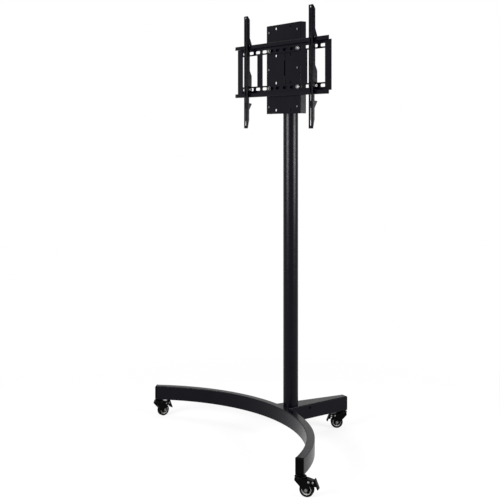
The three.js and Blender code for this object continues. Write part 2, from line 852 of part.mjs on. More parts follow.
function casterTyre(group, name) {
  const half = wheel.width / 2;
  const inner = wheel.radius - wheel.tyreDepth;
  const profile = [
    [inner, -half],
    [wheel.radius - wheel.shoulder, -half],
    [wheel.radius - wheel.shoulder / 4, wheel.shoulder * 0.75 - half],
    [wheel.radius, wheel.shoulder * 1.5 - half],
    [wheel.radius, half - wheel.shoulder * 1.5],
    [wheel.radius - wheel.shoulder / 4, half - wheel.shoulder * 0.75],
    [wheel.radius - wheel.shoulder, half],
    [inner, half],
    [inner, -half],
  ];
  place(group, `${name}_caster_tyre`, onAxle(turned(profile, 32)), rubber);
}

function casterHub(group, name) {
  const outer = wheel.radius - wheel.tyreDepth - contactGap;
  const rim = outer - wheel.hubRim;
  const bore = caster.axleRadius + contactGap;
  const face = wheel.hubWidth / 2;
  const web = wheel.hubWeb / 2;
  const profile = [
    [bore, -face],
    [wheel.hubBoss, -face],
    [wheel.hubBoss, -web],
    [rim, -web],
    [rim, -face],
    [outer, -face],
    [outer, face],
    [rim, face],
    [rim, web],
    [wheel.hubBoss, web],
    [wheel.hubBoss, face],
    [bore, face],
    [bore, -face],
  ];
  place(group, `${name}_caster_hub`, onAxle(turned(profile, 24)), greyNylon);
}

function casterAxle(group, name) {
  const seat = cheekOuter + contactGap;
  const edge = caster.axleHead / 2;
  const profile = [
    [0, -seat - caster.axleHead],
    [caster.axleHeadRadius - edge, -seat - caster.axleHead],
    [caster.axleHeadRadius, edge - seat - caster.axleHead],
    [caster.axleHeadRadius, -seat],
    [caster.axleRadius, -seat],
    [caster.axleRadius, seat],
    [caster.axleHeadRadius, seat],
    [caster.axleHeadRadius, seat + caster.axleHead - edge],
    [caster.axleHeadRadius - edge, seat + caster.axleHead],
    [0, seat + caster.axleHead],
  ];
  place(group, `${name}_caster_axle`, onAxle(turned(profile, 16)), zinc);
}

// The brake lever with its pin: a knuckle between the cheeks and a slanted foot pad behind them.
function casterBrake(group, name) {
  const { pinOut, pinHeight, knuckleRadius, padThickness } = brake;
  const pad = outline([
    [brake.padTopOut, brake.padTopHeight],
    [brake.padTipOut, brake.padTipHeight],
    [brake.padTipOut + padThickness, brake.padTipHeight],
    [brake.padTopOut + padThickness, brake.padTopHeight],
  ]);
  const slope = (brake.padTipOut - brake.padTopOut) / (brake.padTopHeight - brake.padTipHeight);
  const padMiddle = (z) => brake.padTopOut + padThickness / 2 + slope * (brake.padTopHeight - z);
  const knuckleHalf = cheekInner - brake.sideClearance;
  const knuckle = new THREE.Shape();
  knuckle.absarc(pinOut, pinHeight, knuckleRadius, Math.PI / 2, Math.PI * 1.5);
  knuckle.lineTo(padMiddle(pinHeight - knuckleRadius), pinHeight - knuckleRadius);
  knuckle.lineTo(padMiddle(pinHeight + knuckleRadius), pinHeight + knuckleRadius);
  knuckle.closePath();
  const pin = bar(brake.pinRadius, -cheekOuter, cheekOuter, 12).rotate([90, 0, 0]);
  const lever = join([
    solid(prismAlongY(pad, -brake.padHalfWidth, brake.padHalfWidth)),
    solid(prismAlongY(knuckle, -knuckleHalf, knuckleHalf, 6)),
    pin.translate([pinOut, 0, pinHeight]),
  ]);
  place(group, `${name}_caster_brake`, geometryOf(lever), pressedSteel);
}

function casterAt(name, x, y) {
  const group = new THREE.Group();
  group.position.set(x, y, 0);
  group.rotation.z = THREE.MathUtils.degToRad(trailAngle[name]);
  casterStem(group, name);
  casterFork(group, name);
  casterTyre(group, name);
  casterHub(group, name);
  casterAxle(group, name);
  casterBrake(group, name);
  stand.add(group);
}

baseArc();
arcCap("left_arc_cap", -halfAngle);
arcCap("right_arc_cap", halfAngle);
rearLeg();
rearLegCap();
legSideScrew();
columnTube();
columnCap();
footSpigot();
columnBolt();

headPlate();
saddleAt("upper_saddle", headMiddle + clampScrew.rowPitch, saddle.slimHeight);
saddleAt("middle_saddle", headMiddle, saddle.tallHeight);
saddleAt("lower_saddle", headMiddle - clampScrew.rowPitch, saddle.slimHeight);
clampScrews();
bracketRail("upper_rail", 1);
bracketRail("lower_rail", -1);
straps();
standoffs();
bracketBolts();
for (const [side, x] of [
  ["left", -armPlace],
  ["right", armPlace],
]) {
  televisionArm(side, x);
  armLockScrew(side, x);
}

casterAt("front_left", ...arcPoint(-frontCasterAngle, 0).slice(0, 2));
casterAt("front_right", ...arcPoint(frontCasterAngle, 0).slice(0, 2));
casterAt("rear", 0, leg.end - rearCasterInset);

// The origin is the middle of the stand's box, on the floor.
const bounds = new THREE.Box3().setFromObject(stand, true);
const footprint = bounds.getCenter(new THREE.Vector3());
stand.position.set(-footprint.x, -footprint.y, 0);
stand.updateMatrixWorld(true);

export default stand;
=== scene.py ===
import json
import math
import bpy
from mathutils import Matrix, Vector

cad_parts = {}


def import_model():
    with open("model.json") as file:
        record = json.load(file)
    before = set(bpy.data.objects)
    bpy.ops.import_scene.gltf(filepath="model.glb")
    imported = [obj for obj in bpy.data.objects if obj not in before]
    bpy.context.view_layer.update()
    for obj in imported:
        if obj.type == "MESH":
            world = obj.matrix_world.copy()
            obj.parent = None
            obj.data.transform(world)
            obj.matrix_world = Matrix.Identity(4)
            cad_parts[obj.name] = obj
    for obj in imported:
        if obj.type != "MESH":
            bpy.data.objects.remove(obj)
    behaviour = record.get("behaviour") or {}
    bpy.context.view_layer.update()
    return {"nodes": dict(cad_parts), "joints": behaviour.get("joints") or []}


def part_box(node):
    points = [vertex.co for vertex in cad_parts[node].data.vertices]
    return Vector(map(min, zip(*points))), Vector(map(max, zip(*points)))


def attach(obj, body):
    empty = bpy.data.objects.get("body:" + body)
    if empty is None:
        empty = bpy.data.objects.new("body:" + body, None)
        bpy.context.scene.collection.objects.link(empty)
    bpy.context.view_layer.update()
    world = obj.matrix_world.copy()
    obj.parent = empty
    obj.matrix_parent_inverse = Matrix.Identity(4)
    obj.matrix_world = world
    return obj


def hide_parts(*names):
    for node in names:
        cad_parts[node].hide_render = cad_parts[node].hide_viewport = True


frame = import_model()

from types import SimpleNamespace as Values

import bmesh
import bpy
from mathutils import Matrix, Vector

# A wheeled floor stand for a flat television. Lengths are in metres and angles in degrees. Places
# are measured from the column's axis on the floor, with the television on the -Y side.

gap = 0.0003  # left between pieces that touch or turn on each other in the real stand

# Base and column.
tube = Values(width=0.030, height=0.058, wall=0.002, corner=0.003)
arc = Values(radius=0.681, half_angle=54.2, column_behind=0.0506, steps=160)
cap = Values(plate=0.006, side_edge=0.0007, rounding=0.005, edge_steps=8)
leg = Values(
    end=0.272,
    front_half=0.045,
    rear_half=0.0155,
    wall=0.0025,
    corner=0.003,
    inner_corner=0.00075,
)
column = Values(radius=0.030, wall=0.002, edge=0.0006, steps=96)
column_cap = Values(thickness=0.003, edge=0.0012, steps=64)
side_screw = Values(radius=0.0025, head_radius=0.0045, head=0.002, length=0.012, socket=0.003)

# Head and bracket.
head = Values(sheet=0.0025, bend=0.0027, edge=0.0003)
cable_hole = Values(radius=0.0055, across=0.105, pitch=0.110, rows=4)
head_slot = Values(width=0.008, length=0.138, offset=0.012)
saddle = Values(strap=0.003, bend=0.004, edge=0.0004, steps=24)
clamp_screw = Values(count=6, radius=0.0025, head_radius=0.0045, head=0.0025, length=0.009, socket=0.003)
rail = Values(height=0.045, depth=0.0173, lip=0.0155, sheet=0.0022, bend=0.003, notch=0.020)
rail_slot = Values(length=0.034, width=0.012, pitch=0.0516, count=12, from_inner_edge=0.012)
strap = Values(edge=0.0004, corner=0.0008)
standoff = Values(count=4, edge=0.0006)
bolt = Values(
    count=4,
    radius=0.004,
    flats=0.013,
    head=0.0055,
    washer_radius=0.009,
    washer=0.0015,
    washer_edge=0.0005,
    length=0.022,
)

# Arms.
arm = Values(width=0.028, sheet=0.0022, bend=0.0028, slot=0.0065)
# Lower and upper end of each slot in an arm, as shares of the arm's height.
arm_slot_shares = [
    (0.021, 0.181),
    (0.221, 0.279),
    (0.289, 0.387),
    (0.432, 0.498),
    (0.521, 0.634),
    (0.668, 0.740),
    (0.772, 0.930),
]
arm_hole = Values(radius=0.0035, below_top=0.008, pitch=0.0145, count=2)
# The free edge of an arm's web. Its depth behind the arm's face is shallow over most of the arm, and
# middle between the rails' lips and above the hook.
arm_edge = Values(
    shallow=0.0097,
    middle=0.0130,
    lip_gap=0.002,
    top_chamfer=0.015,
    foot_chamfer=0.036,
    land=0.003,
    hook_rise=0.004,
    hook_slope=0.027,
    catch_top=0.094,
    catch_bottom=0.002,
    catch_slope=0.022,
    ear_below_rail=0.026,
    ear_depth=0.027,
    ear_land=0.002,
)
lock_screw = Values(radius=0.003, head_radius=0.006, head=0.004, length=0.036, socket=0.004)

# Casters. Each is laid out with its swivel axis at the origin and its trail along +X.
wheel = Values(radius=0.025, half_width=0.010, shoulder=0.005, groove=0.0006, groove_at=0.0035, steps=64)
# How far the tread's shoulder cuts in and across, and its two roundings, as shares of the shoulder.
shoulder_shares = Values(inwards=0.3, across=0.6, side_rounding=0.5, tread_rounding=0.4)
rim = Values(outer=0.0172, lip=0.0010, inner=0.0136, half_width=0.0090, inner_half=0.0056, edge=0.0005)
core = Values(web=0.0026, boss=0.0082, boss_half=0.0085, rounding=0.0008)
race = Values(radius=0.0210, top=0.0694, bottom=0.0634, rounding=0.0024)
fork = Values(
    inner=0.0112,
    sheet=0.0025,
    bend=0.003,
    edge=0.0004,
    back=0.0188,
    front=0.0195,
    skirt=0.0084,
    boss=0.0105,
)
# Where the round parts of a fork's cheek start and end, about the axle and about the brake's pin.
boss_sweep = Values(start=190, end=355, steps=14)
lug_sweep = Values(start=-85, end=90, steps=12)
axle = Values(
    radius=0.004,
    height=0.025,
    out=0.022,
    head_radius=0.0058,
    head=0.005,
    flange=0.001,
    flats=0.0095,
    end_radius=0.0027,
    end=0.0012,
    end_edge=0.0004,
)
stem = Values(
    radius=0.005,
    top=0.090,
    plate_radius=0.015,
    plate=0.004,
    plate_lower_edge=0.0008,
    plate_upper_edge=0.0012,
    nut_radius=0.009,
    nut=0.003,
    nut_edge=0.0005,
)
brake = Values(
    pin_out=0.0455,
    pin_height=0.052,
    pin_radius=0.0025,
    lug=0.0044,
    half_width=0.0104,
    edge=0.0005,
)
rivet = Values(radius=0.0038, head=0.0014, out=0.0305, height=0.0525, steps=32, dome_steps=6)
pad = Values(
    tip_out=0.0602,
    tip_height=0.0280,
    slope=21.3,
    length=0.0358,
    half_width=0.0125,
    thickness=0.0058,
    crown=0.0016,
    crown_steps=12,
    corner=0.0020,
    edge=0.0017,
    edge_steps=4,
)
# The lever's side outline, as (distance from the swivel axis, height, rounding).
lever_outline = [
    (0.0235, 0.0628, 0.0005),
    (0.0235, 0.0608, 0.0005),
    (0.0390, 0.0552, 0.0030),
    (0.0415, 0.0480, 0.0030),
    (0.0465, 0.0450, 0.0020),
    (0.0490, 0.0378, 0.0010),
    (0.0585, 0.0378, 0.0010),
    (0.0522, 0.0570, 0.0010),
    (0.0440, 0.0585, 0.0040),
]

# Shares of a fastener's size: where a hexagon's chamfer starts across its width, and how much of a
# screw head's height is rounded and left under the socket.
chamfer_share = 0.47
head_edge_share = 0.45
socket_floor_share = 0.4

smooth_limit = 35.0  # edges that turn by more than this stay sharp
round_steps = 48

# The tubes of the base and column have a glossier coat than the head's sheets.
tube_coat = Values(specular=0.085, smoothest=0.25, roughest=0.31)
sheet_coat = Values(specular=0.038, smoothest=0.23, roughest=0.29)
noise_middle = Values(low=0.3, high=0.7)  # most of a noise's values lie between these

# Camera and background.
camera_place = (3.3244, -2.2146, 1.2489)
camera_turn = 58.68
lens = 71.36
sensor = 36.0
frame_shift = -0.2455
floor = Values(
    radius=40.0,
    steps=64,
    shaded_to=0.7,
    white_from=1.6,
    near_share=0.8,
    colour=(0.9, 0.9, 0.9),
)
surround = 0.3  # the strength of the studio's own light, away from the lamps
# Lamps: direction in degrees from +X, distance from the column, height, size, power in watts, and
# the height on the column that they point at.
softboxes = {
    "left_softbox": Values(turn=-83, away=2.7, up=1.25, width=1.5, height=0.7, power=120, aim=1.2),
    "right_softbox": Values(turn=29, away=3.0, up=1.15, width=1.6, height=0.6, power=130, aim=1.1),
    "top_softbox": Values(turn=150, away=0.8, up=3.2, width=2.0, height=2.0, power=25, aim=0.3),
}

column_low, column_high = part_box("column_tube")
column_foot = Vector(((column_low.x + column_high.x) / 2, (column_low.y + column_high.y) / 2, 0))
stand = Matrix.Translation(column_foot)


def node_box(node):
    """A CAD node's box, measured from the column's axis."""
    low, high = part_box(node)
    return low - column_foot, high - column_foot


# Materials. Each noise is given by its cells to the metre and its detail.
def noise(tree, grain):
    """A noise that stays fixed to the piece."""
    place = tree.nodes.new("ShaderNodeTexCoord")
    texture = tree.nodes.new("ShaderNodeTexNoise")
    texture.inputs["Scale"].default_value = grain.cells
    texture.inputs["Detail"].default_value = grain.detail
    tree.links.new(place.outputs["Object"], texture.inputs["Vector"])
    return texture.outputs["Fac"]


def spread(tree, value, low, high):
    """Stretches the middle of a noise over a range."""
    remap = tree.nodes.new("ShaderNodeMapRange")
    remap.inputs["From Min"].default_value = noise_middle.low
    remap.inputs["From Max"].default_value = noise_middle.high
    remap.inputs["To Min"].default_value = low
    remap.inputs["To Max"].default_value = high
    tree.links.new(value, remap.inputs["Value"])
    return remap.outputs["Result"]


def paint(tree, shader, tones):
    """Colours the surface between two tones."""
    clouds = noise(tree, tones)
    mix = tree.nodes.new("ShaderNodeMix")
    mix.data_type = "RGBA"
    mix.inputs["A"].default_value = (*tones.dark, 1)
    mix.inputs["B"].default_value = (*tones.light, 1)
    tree.links.new(spread(tree, clouds, 0, 1), mix.inputs["Factor"])
    tree.links.new(mix.outputs["Result"], shader.inputs["Base Color"])


def polish(tree, shader, gloss):
    """Varies the roughness between two values."""
    roughness = spread(tree, noise(tree, gloss), gloss.smoothest, gloss.roughest)
    tree.links.new(roughness, shader.inputs["Roughness"])


def emboss(tree, shader, relief):
    """Gives the surface a fine relief."""
    bumps = noise(tree, relief)
    bump = tree.nodes.new("ShaderNodeBump")
    bump.inputs["Distance"].default_value = relief.depth
    bump.inputs["Strength"].default_value = relief.strength
    tree.links.new(bumps, bump.inputs["Height"])
    tree.links.new(bump.outputs["Normal"], shader.inputs["Normal"])


def surface(name, specular, tones, gloss, relief, metallic=0):
    """A material whose colour, gloss and relief each follow a noise of their own."""
    material = bpy.data.materials.new(name)
    material.use_nodes = True
    tree = material.node_tree
    shader = tree.nodes["Principled BSDF"]
    shader.inputs["Metallic"].default_value = metallic
    shader.inputs["Specular IOR Level"].default_value = specular
    paint(tree, shader, tones)
    polish(tree, shader, gloss)
    emboss(tree, shader, relief)
    return material


def powder_coat(name, coat):
    """Black satin powder coat with its fine orange peel."""
    return surface(
        name,
        specular=coat.specular,
        tones=Values(cells=9, detail=2, dark=(0.0010, 0.0008, 0.0022), light=(0.0017, 0.0014, 0.0034)),
        gloss=Values(cells=60, detail=4, smoothest=coat.smoothest, roughest=coat.roughest),
        relief=Values(cells=900, detail=3, depth=0.00006, strength=0.3),
    )


def moulded_plastic():
    """Black moulded plastic with a fine spark-eroded grain."""
    return surface(
        "moulded_plastic",
        specular=0.02,
        tones=Values(cells=30, detail=2, dark=(0.0006, 0.0006, 0.0007), light=(0.0011, 0.0010, 0.0012)),
        gloss=Values(cells=200, detail=3, smoothest=0.40, roughest=0.52),
        relief=Values(cells=2500, detail=2, depth=0.00004, strength=0.6),
    )


def pressed_steel():
    """Black semi-gloss paint over pressed steel."""
    return surface(
        "pressed_steel",
        specular=0.035,
        tones=Values(cells=40, detail=2, dark=(0.0005, 0.0005, 0.0005), light=(0.0009, 0.0009, 0.0010)),
        gloss=Values(cells=150, detail=4, smoothest=0.22, roughest=0.32),
        relief=Values(cells=700, detail=3, depth=0.00005, strength=0.4),
    )


def zinc_plate():
    """Zinc plate, dull and cloudy."""
    return surface(
        "zinc_plate",
        specular=0.5,
        tones=Values(cells=160, detail=4, dark=(0.11, 0.11, 0.115), light=(0.18, 0.178, 0.173)),
        gloss=Values(cells=400, detail=3, smoothest=0.42, roughest=0.54),
        relief=Values(cells=1500, detail=2, depth=0.00003, strength=0.4),
        metallic=1,
    )


def tyre_rubber():
    """Matt black tread rubber."""
    return surface(
        "tyre_rubber",
        specular=0.03,
        tones=Values(cells=120, detail=4, dark=(0.0014, 0.0014, 0.0014), light=(0.0026, 0.0025, 0.0024)),
        gloss=Values(cells=300, detail=4, smoothest=0.55, roughest=0.75),
        relief=Values(cells=1800, detail=3, depth=0.00006, strength=0.6),
    )


def grey_nylon():
    """Grey moulded nylon of the wheel's dished ring."""
    return surface(
        "grey_nylon",
        specular=0.3,
        tones=Values(cells=200, detail=3, dark=(0.27, 0.27, 0.26), light=(0.36, 0.36, 0.35)),
        gloss=Values(cells=500, detail=3, smoothest=0.34, roughest=0.48),
        relief=Values(cells=2000, detail=2, depth=0.00004, strength=0.5),
    )


finish = {
    "coated_steel": powder_coat("sheet_coat", sheet_coat),
    "black_plastic": moulded_plastic(),
    "pressed_steel": pressed_steel(),
    "zinc_plate": zinc_plate(),
    "tyre_rubber": tyre_rubber(),
    "hub_nylon": grey_nylon(),
}
glossier_coat = powder_coat("tube_coat", tube_coat)


# Outlines: lists of flat points. An outline runs anticlockwise and a hole clockwise.
def arc_points(x, y, radius, start, end, steps):
    turns = [math.radians(start + (end - start) * i / steps) for i in range(steps + 1)]
    return [Vector((x + radius * math.cos(turn), y + radius * math.sin(turn))) for turn in turns]


def rounded_rectangle(width, height, radius, steps=5):
    across = width / 2 - radius
    up = height / 2 - radius
    return [
        *arc_points(across, up, radius, 0, 90, steps),
        *arc_points(-across, up, radius, 90, 180, steps),
        *arc_points(-across, -up, radius, 180, 270, steps),
        *arc_points(across, -up, radius, 270, 360, steps),
    ]


def round_hole(x, y, radius, steps=24):
    return arc_points(x, y, radius, 360, 0, steps)[:-1]


def slot_hole(x, y, width, height, steps=8):
    """A slot with round ends, long in whichever way is larger."""
    radius = min(width, height) / 2
    along = max(width, height) / 2 - radius
    if width > height:
        right = arc_points(x + along, y, radius, 90, -90, steps)
        return right + arc_points(x - along, y, radius, 270, 90, steps)
    top = arc_points(x, y + along, radius, 180, 0, steps)
    return top + arc_points(x, y - along, radius, 360, 180, steps)


def filleted(corners, steps=5, closed=True):
    """Rounds the corners of a line of (x, y, radius) points."""
    line = []
    for i, (x, y, radius) in enumerate(corners):
        here = Vector((x, y))
        if not radius or (not closed and i in (0, len(corners) - 1)):
            line.append(here)
            continue
        back = (Vector(corners[i - 1][:2]) - here).normalized()
        ahead = (Vector(corners[(i + 1) % len(corners)][:2]) - here).normalized()
        half = back.angle(ahead) / 2
        centre = here + (back + ahead).normalized() * (radius / math.sin(half))
        start = here + back * (radius / math.tan(half)) - centre
        end = here + ahead * (radius / math.tan(half)) - centre
        sweep = math.atan2(start.cross(end), start.dot(end))
        line += [centre + Matrix.Rotation(sweep * k / steps, 2) @ start for k in range(steps + 1)]
    return line


def inset(line, distance):
    """The line moved to its left, where its material lies."""
    moved = []
    for i, here in enumerate(line):
        before = (here - line[i - 1]).normalized()
        after = (line[(i + 1) % len(line)] - here).normalized()
        left = Vector((-before.y - after.y, before.x + after.x))
        moved.append(here + left * (2 * distance / left.length_squared))
    return moved


def mirrored_sheet(right):
    """A flat pattern from its +Y side, which lies along X from one end to the other."""
    return right[::-1] + [Vector((point.x, -point.y)) for point in right]


def mirrored_profile(lower):
    """A whole (radius, height, rounding) outline from the half of it below z = 0."""
    return lower + [(radius, -height, rounding) for radius, height, rounding in reversed(lower)]


# Solids.
def ring(bm, line, height):
    return [bm.verts.new((point.x, point.y, height)) for point in line]


def join_rings(bm, lower, upper):
    """Faces between two rings; a ring of one point closes the end."""
    count = max(len(lower), len(upper))
    for i in range(count):
        j = (i + 1) % count
        corners = []
        for side, order in ((lower, (i, j)), (upper, (j, i))):
            corners += [side[0]] if len(side) == 1 else [side[k] for k in order]
        bm.faces.new(corners)


def fill_between(bm, rings, normal):
    """A flat face bounded by the first ring, with the others as its holes."""
    edges = []
    for points in rings:
        edges += [bm.edges.get((points[i - 1], points[i])) for i in range(len(points))]
    bmesh.ops.triangle_fill(bm, edges=edges, use_beauty=True, use_dissolve=False, normal=normal)


def rounded_levels(line, low, high, edge, steps):
    """The rings of a plate's side, with its lower and upper edges rounded."""
    turns = [math.pi / 2 * i / steps for i in range(steps + 1)]
    rounding = [(edge * (1 - math.sin(turn)), edge * (1 - math.cos(turn))) for turn in turns]
    levels = [(inwards, low + rise) for inwards, rise in rounding]
    levels += [(inwards, high - rise) for inwards, rise in reversed(rounding)]
    return [(inset(line, inwards), height) for inwards, height in levels]


def plate(line, holes, low, high, edge, steps=2):
    """A flat part between two heights, with holes through it and rounded edges."""
    bm = bmesh.new()
    bottoms = []
    tops = []
    for border in [line, *holes]:
        levels = rounded_levels(border, low, high, edge, steps)
        rings = [ring(bm, points, height) for points, height in levels]
        for lower, upper in zip(rings, rings[1:]):
            join_rings(bm, lower, upper)
        bottoms.append(rings[0])
        tops.append(rings[-1])
    fill_between(bm, bottoms, (0, 0, -1))
    fill_between(bm, tops, (0, 0, 1))
    return bm


def fold(bm, line, side, radius, steps=6):
    """Bends what lies past a line along X back by 90 degrees. The sheet's outer face is at z = 0."""
    reach = radius * math.pi / 2
    for i in range(steps + 1):
        place = (0, line + side * reach * i / steps, 0)
        everything = [*bm.verts, *bm.edges, *bm.faces]
        bmesh.ops.bisect_plane(bm, geom=everything, plane_co=place, plane_no=(0, 1, 0))
    for vertex in bm.verts:
        past = side * (vertex.co.y - line)
        if past <= 0:
            continue
        swept = min(past, reach) / radius
        beyond = max(past - reach, 0)
        outward = radius + vertex.co.z
        vertex.co.y = line + side * (outward * math.sin(swept) + beyond * math.cos(swept))
        vertex.co.z = outward * math.cos(swept) - radius - beyond * math.sin(swept)


def before_bend(flat_half, bend, depth):
    """How far from the middle of a flat pattern a point lies that is so deep after the bend."""
    return flat_half + bend * math.pi / 2 - bend + depth


def channel(border, holes, sheet, edge, flat_half, bend):
    """A sheet whose two long sides are bent back past flat_half; its pattern has X along the bends."""
    bm = plate(border, holes, -sheet, 0, edge)
    for side in (-1, 1):
        fold(bm, side * flat_half, side, bend)
    return bm


def circle(radius, height, steps=round_steps):
    turns = [2 * math.pi * i / steps for i in range(steps)]
    return [Vector((radius * math.cos(turn), radius * math.sin(turn), height)) for turn in turns]


def hexagon(flats, height, chamfer_from=None, steps=round_steps):
    """A hexagonal ring; past chamfer_from its corners drop along a 30 degree chamfer."""
    points = []
    for i in range(steps):
        turn = 2 * math.pi * i / steps
        to_flat = (turn + math.pi / 6) % (math.pi / 3) - math.pi / 6
        radius = flats / 2 / math.cos(to_flat)
        drop = 0 if chamfer_from is None else (radius - chamfer_from) * math.tan(math.pi / 6)
        points.append(Vector((radius * math.cos(turn), radius * math.sin(turn), height - drop)))
    return points


def shell(rings, closed=False):
    """A solid skinned over rings of points; a ring of one point closes an end."""
    bm = bmesh.new()
    made = [[bm.verts.new(point) for point in points] for points in rings]
    for lower, upper in zip(made, made[1:]):
        join_rings(bm, lower, upper)
    if closed:
        join_rings(bm, made[-1], made[0])
    return bm


def turned(profile, closed=False, steps=round_steps):
    """A solid turned about Z from (radius, height) points."""
    rings = []
    for radius, height in profile:
        rings.append(circle(radius, height, steps) if radius > 0 else [Vector((0, 0, height))])
    return shell(rings, closed)


def rounded_profile(corners, edge_steps=4, closed=False):
    return [(point.x, point.y) for point in filleted(corners, edge_steps, closed)]


def turned_ring(corners, edge_steps=4, steps=round_steps):
    """A ring turned about Z from the closed outline of its (radius, height, rounding) corners."""
    return turned(rounded_profile(corners, edge_steps, closed=True), closed=True, steps=steps)


def socket_screw(screw):
    """A round-headed screw with a hexagonal socket, its head above z = 0."""
    corners = [
        (screw.head_radius, 0, 0),
        (screw.head_radius, screw.head, screw.head * head_edge_share),
        (screw.socket / 2, screw.head, 0),
    ]
    socket_floor = screw.head * socket_floor_share
    return shell([
        [Vector((0, 0, -screw.length))],
        circle(screw.radius, -screw.length),
        circle(screw.radius, 0),
        *[circle(radius, height) for radius, height in rounded_profile(corners)[:-1]],
        hexagon(screw.socket, screw.head),
        hexagon(screw.socket, socket_floor),
        [Vector((0, 0, socket_floor))],
    ])


def hex_bolt():
    """A hex-headed bolt with a pressed-on washer, its seat at z = 0."""
    seat = bolt.washer
    top = seat + bolt.head
    flat = bolt.flats * chamfer_share
    return shell([
        [Vector((0, 0, -bolt.length))],
        circle(bolt.radius, -bolt.length),
        circle(bolt.radius, 0),
        circle(bolt.washer_radius, 0),
        circle(bolt.washer_radius, seat - bolt.washer_edge),
        circle(bolt.washer_radius - bolt.washer_edge, seat),
        hexagon(bolt.flats, seat),
        hexagon(bolt.flats, top, flat),
        circle(flat, top),
        [Vector((0, 0, top))],
    ])


def united(bodies):
    """One closed skin over several overlapping solids."""
    objects = []
    for i, bm in enumerate(bodies):
        mesh = bpy.data.meshes.new(f"union_{i}")
        bmesh.ops.recalc_face_normals(bm, faces=bm.faces)
        bm.to_mesh(mesh)
        bm.free()
        objects.append(bpy.data.objects.new(f"union_{i}", mesh))
        bpy.context.scene.collection.objects.link(objects[i])
    for other in objects[1:]:
        modifier = objects[0].modifiers.new("union", "BOOLEAN")
        modifier.operation = "UNION"
        modifier.solver = "EXACT"
        modifier.object = other
    result = bmesh.new()
    result.from_object(objects[0], bpy.context.evaluated_depsgraph_get())
    for item in objects:
        bpy.data.meshes.remove(item.data)
    return result


# Pieces.
along_x = Matrix.Rotation(math.radians(90), 4, "Y")  # local +Z to +X
upright = Matrix.Rotation(math.radians(90), 4, "X")  # local +Z to -Y, local +Y to +Z
along_axle = Matrix.Rotation(math.radians(-90), 4, "X")  # local +Z to +Y


def up_the_front(x, y, z):
    """Local X to +Z, local Y to +X and local Z to -Y, for a flat pattern that starts at a place."""
    return Matrix(((0, 1, 0, x), (0, 0, -1, y), (1, 0, 0, z), (0, 0, 0, 1)))


def piece(name, bm, slot, body, place, *nodes):
    """Makes a named piece that rides on a body and stands for CAD nodes."""
    bmesh.ops.transform(bm, matrix=place, verts=bm.verts)
    bmesh.ops.recalc_face_normals(bm, faces=bm.faces)
    mesh = bpy.data.meshes.new(name)
    bm.to_mesh(mesh)
    bm.free()
    glossier = slot == "coated_steel" and body == "base"
    mesh.materials.append(glossier_coat if glossier else finish[slot])
    mesh.shade_smooth()
    mesh.set_sharp_from_angle(angle=math.radians(smooth_limit))
    made = bpy.data.objects.new(name, mesh)
    bpy.context.scene.collection.objects.link(made)
    even = made.modifiers.new("even_normals", "WEIGHTED_NORMAL")
    even.keep_sharp = True
    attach(made, body)
    if nodes:
        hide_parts(*nodes)


def screw_from_right(name, screw, slot, body, node):
    """A socket screw driven in from the +X side."""
    low, high = node_box(node)
    seat = Matrix.Translation((high.x - screw.head, (low.y + high.y) / 2, (low.z + high.z) / 2))
    piece(name, socket_screw(screw), slot, body, stand @ seat @ along_x, node)


def numbered_places(prefix, count):
    """The number and middle of each of the CAD's numbered fasteners."""
    places = []
    for i in range(1, count + 1):
        low, high = node_box(f"{prefix}_{i}")
        places.append((i, (low.x + high.x) / 2, (low.z + high.z) / 2))
    return places


# Base and column.
arc_centre = -(arc.radius + arc.column_behind)
arc_low, arc_high = node_box("base_arc")
tube_middle = (arc_low.z + arc_high.z) / 2
tube_half_angle = math.radians(arc.half_angle) - (cap.plate + gap) / arc.radius


def base_arc():
    outer = rounded_rectangle(tube.width, tube.height, tube.corner)
    thin = 2 * tube.wall
    inner = rounded_rectangle(tube.width - thin, tube.height - thin, tube.corner - tube.wall)
    bm = bmesh.new()
    ends = []
    for line in (outer, inner[::-1]):
        rings = []
        for i in range(arc.steps + 1):
            turn = tube_half_angle * (2 * i / arc.steps - 1)
            rings.append([bm.verts.new((
                (arc.radius + point.x) * math.sin(turn),
                arc_centre + (arc.radius + point.x) * math.cos(turn),
                tube_middle + point.y,
            )) for point in line])
        for lower, upper in zip(rings, rings[1:]):
            join_rings(bm, lower, upper)
        ends.append((rings[0], rings[-1]))
    for end, turn in ((0, -tube_half_angle), (1, tube_half_angle)):
        away = Vector((math.cos(turn), -math.sin(turn), 0)) * (2 * end - 1)
        fill_between(bm, [ends[0][end], ends[1][end]], away)
    piece("base_arc_tube", bm, "coated_steel", "base", stand, "base_arc")


def end_cap(name, node, width, place):
    """A moulded cap, rounded at the top and bottom of its outer face; local +X points out."""
    half = tube.height / 2
    side = filleted([
        (0, -half, 0),
        (cap.plate, -half, cap.rounding),
        (cap.plate, half, cap.rounding),
        (0, half, 0),
    ], cap.edge_steps)
    bm = plate(side, [], -width / 2, width / 2, cap.side_edge)
    piece(name, bm, "black_plastic", "base", stand @ place @ upright, node)


def arc_caps():
    for side, sign in (("left", -1), ("right", 1)):
        turn = sign * (tube_half_angle + gap / arc.radius)
        end = (arc.radius * math.sin(turn), arc_centre + arc.radius * math.cos(turn), tube_middle)
        outwards = -turn if sign > 0 else math.pi - turn
        place = Matrix.Translation(end) @ Matrix.Rotation(outwards, 4, "Z")
        end_cap(f"{side}_end_cap", f"{side}_arc_cap", tube.width, place)


def leg_half(y):
    """The tapered leg's half width at a place behind the arc's middle line."""
    front = arc_centre + arc.radius
    share = (y - front) / (leg.end - front)
    return leg.front_half + (leg.rear_half - leg.front_half) * share


